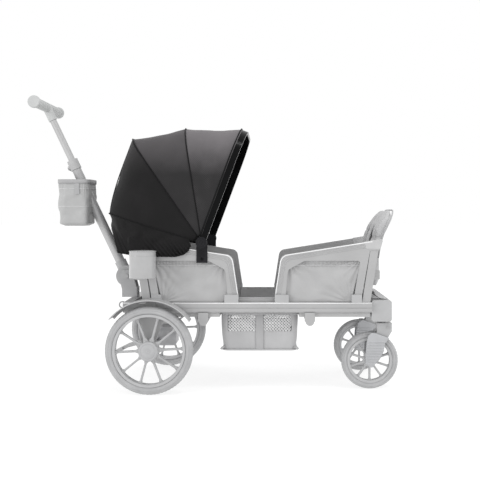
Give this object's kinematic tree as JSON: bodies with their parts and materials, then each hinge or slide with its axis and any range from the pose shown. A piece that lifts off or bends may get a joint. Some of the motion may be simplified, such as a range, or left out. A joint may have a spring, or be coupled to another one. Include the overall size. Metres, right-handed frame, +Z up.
{
  "type": "stroller wagon",
  "caption": "Seated stroller wagon with a telescoping tilt handle, folding canopy, spoked rear wheels and swivelling front casters.",
  "frame": {"origin": "on the ground below the middle of the bounding box", "axes": "+X towards the casters (front), +Y to the wagon's left, +Z up"},
  "size_m": [1.3254, 0.683, 1.0487],
  "materials": {
    "frame_paint": "satin powder coat",
    "handle_paint": "satin powder coat",
    "tube_aluminium": "anodised",
    "deck_board": "textured",
    "grey_plastic": "moulded",
    "axle_steel": "zinc plated",
    "fender_plastic": "moulded",
    "grey_fabric": "woven",
    "seat_fabric": "woven",
    "well_fabric": "woven with mesh",
    "cup_plastic": "smooth",
    "pin_steel": "zinc plated",
    "collar_plastic": "moulded",
    "button_plastic": "moulded",
    "grip_rubber": "soft foam",
    "bag_fabric": "woven",
    "bracket_plastic": "moulded",
    "wire_steel": "coated",
    "bow_plastic": "moulded",
    "front_bow_gloss": "glossy",
    "canopy_fabric": "coated weave",
    "board_plastic": "moulded",
    "tyre": "fine tread",
    "rim_plastic": "moulded",
    "hub_plastic": "moulded",
    "cover_plastic": "ribbed"
  },
  "bodies": {
    "chassis": {"side_rails": "frame_paint", "front_deck": "deck_board", "rear_deck": "deck_board", "cross_tubes": "frame_paint", "front_cross_beam": "frame_paint", "rear_cross_beam": "frame_paint", "front_knuckles": "grey_plastic", "axle_brackets": "frame_paint", "rear_axle": "axle_steel", "fenders": "fender_plastic", "side_panels": "grey_fabric", "post_sockets": "grey_plastic", "end_frames": "frame_paint", "seat_cushions": "seat_fabric", "front_cover": "seat_fabric", "foot_well": "well_fabric", "cup_holder": "cup_plastic", "handle_bracket": "grey_plastic", "handle_pivot_pin": "pin_steel", "canopy_brackets": "bracket_plastic", "canopy_back_wire": "wire_steel", "canopy_skirt": "canopy_fabric", "front_side_frame_right": "frame_paint", "rear_side_frame_right": "frame_paint", "front_side_frame_left": "frame_paint", "rear_side_frame_left": "frame_paint"},
    "handle": {"handle_hub": "grey_plastic", "handle_lower_tube": "handle_paint", "handle_collar": "collar_plastic", "handle_bag": "bag_fabric"},
    "handle_upper": {"handle_upper_tube": "tube_aluminium", "handle_grip": "grip_rubber"},
    "handle_button": {"handle_button": "button_plastic"},
    "brake_pedal": {"brake_pedal": "grey_plastic"},
    "seat_back_front": {"front_back_board": "board_plastic", "front_back_pad": "seat_fabric"},
    "seat_back_rear": {"rear_back_board": "board_plastic", "rear_back_pad": "seat_fabric"},
    "rear_bow": {"canopy_rear_bow": "bow_plastic", "canopy_rear_gore": "canopy_fabric"},
    "mid_bow": {"canopy_mid_bow": "bow_plastic", "canopy_mid_gore": "canopy_fabric"},
    "front_bow": {"canopy_front_bow": "front_bow_gloss", "canopy_front_gore": "canopy_fabric"},
    "rear_wheel_right": {"rear_tyre_right": "tyre", "rear_rim_right": "rim_plastic", "rear_hub_cap_right": "hub_plastic"},
    "front_wheel_right": {"front_tyre_right": "tyre", "front_rim_right": "rim_plastic"},
    "caster_right": {"caster_fork_right": "grey_plastic", "caster_covers_right": "cover_plastic"},
    "caster_lock_right": {"caster_lock_right": "button_plastic"},
    "rear_wheel_left": {"rear_tyre_left": "tyre", "rear_rim_left": "rim_plastic", "rear_hub_cap_left": "hub_plastic"},
    "front_wheel_left": {"front_tyre_left": "tyre", "front_rim_left": "rim_plastic"},
    "caster_left": {"caster_fork_left": "grey_plastic", "caster_covers_left": "cover_plastic"},
    "caster_lock_left": {"caster_lock_left": "button_plastic"}
  },
  "joints": [
    {"name": "rear_wheel_right_spin", "type": "hinge", "parent": "chassis", "child": "rear_wheel_right", "pos_m": [-0.21183, -0.3, 0.1525], "axis": [0, 1, 0], "continuous": true},
    {"name": "caster_right_swivel", "type": "hinge", "parent": "chassis", "child": "caster_right", "pos_m": [0.61117, -0.187, 0.27], "axis": [0, 0, 1], "continuous": true},
    {"name": "front_wheel_right_spin", "type": "hinge", "parent": "caster_right", "child": "front_wheel_right", "pos_m": [0.56117, -0.187, 0.1015], "axis": [0, 1, 0], "continuous": true},
    {"name": "caster_lock_right_press", "type": "slide", "parent": "caster_right", "child": "caster_lock_right", "axis": [0, 1, 0], "range_m": [0, 0.003], "stiffness_N_per_m": 250, "springref_m": -0.001},
    {"name": "rear_wheel_left_spin", "type": "hinge", "parent": "chassis", "child": "rear_wheel_left", "pos_m": [-0.21183, 0.3, 0.1525], "axis": [0, 1, 0], "continuous": true},
    {"name": "caster_left_swivel", "type": "hinge", "parent": "chassis", "child": "caster_left", "pos_m": [0.61117, 0.187, 0.27], "axis": [0, 0, 1], "continuous": true},
    {"name": "front_wheel_left_spin", "type": "hinge", "parent": "caster_left", "child": "front_wheel_left", "pos_m": [0.56117, 0.187, 0.1015], "axis": [0, 1, 0], "continuous": true},
    {"name": "caster_lock_left_press", "type": "slide", "parent": "caster_left", "child": "caster_lock_left", "axis": [0, -1, 0], "range_m": [0, 0.003], "stiffness_N_per_m": 250, "springref_m": -0.001},
    {"name": "handle_tilt", "type": "hinge", "parent": "chassis", "child": "handle", "pos_m": [-0.33533, 0, 0.39], "axis": [0, 1, 0], "range_deg": [-60, 0]},
    {"name": "handle_telescope", "type": "slide", "parent": "handle", "child": "handle_upper", "axis": [-0.4321, 0, 0.9018], "range_m": [-0.165, 0]},
    {"name": "handle_button_press", "type": "slide", "parent": "handle", "child": "handle_button", "axis": [0.9018, 0, 0.4321], "range_m": [0, 0.002], "stiffness_N_per_m": 300, "springref_m": -0.001},
    {"name": "brake_pedal_press", "type": "hinge", "parent": "chassis", "child": "brake_pedal", "pos_m": [-0.25483, 0, 0.146], "axis": [0, 1, 0], "range_deg": [-18, 0], "stiffness_Nm_per_rad": 1.5, "springref_deg": 14.32},
    {"name": "seat_back_front_fold", "type": "hinge", "parent": "chassis", "child": "seat_back_front", "pos_m": [0.58217, 0, 0.408], "axis": [0, 1, 0], "range_deg": [-78, 0]},
    {"name": "seat_back_rear_fold", "type": "hinge", "parent": "chassis", "child": "seat_back_rear", "pos_m": [-0.26583, 0, 0.408], "axis": [0, 1, 0], "range_deg": [0, 78]},
    {"name": "canopy_rear_fold", "type": "hinge", "parent": "chassis", "child": "rear_bow", "pos_m": [-0.03383, 0, 0.5237], "axis": [0, 1, 0], "range_deg": [-27.3, 0.1], "deforming": ["canopy_rear_gore"]},
    {"name": "canopy_mid_fold", "type": "hinge", "parent": "rear_bow", "child": "mid_bow", "pos_m": [-0.03383, 0, 0.5237], "axis": [0, 1, 0], "range_deg": [-19.8, 0.1], "deforming": ["canopy_mid_gore"]},
    {"name": "canopy_fold", "type": "hinge", "parent": "mid_bow", "child": "front_bow", "pos_m": [-0.03383, 0, 0.5237], "axis": [0, 1, 0], "range_deg": [-23.6, 0], "deforming": ["canopy_front_gore"]}
  ],
  "couplings": [
    {"joint": "canopy_mid_fold", "follows": "canopy_fold", "ratio": 0.83475},
    {"joint": "canopy_rear_fold", "follows": "canopy_fold", "ratio": 1.1525}
  ]
}
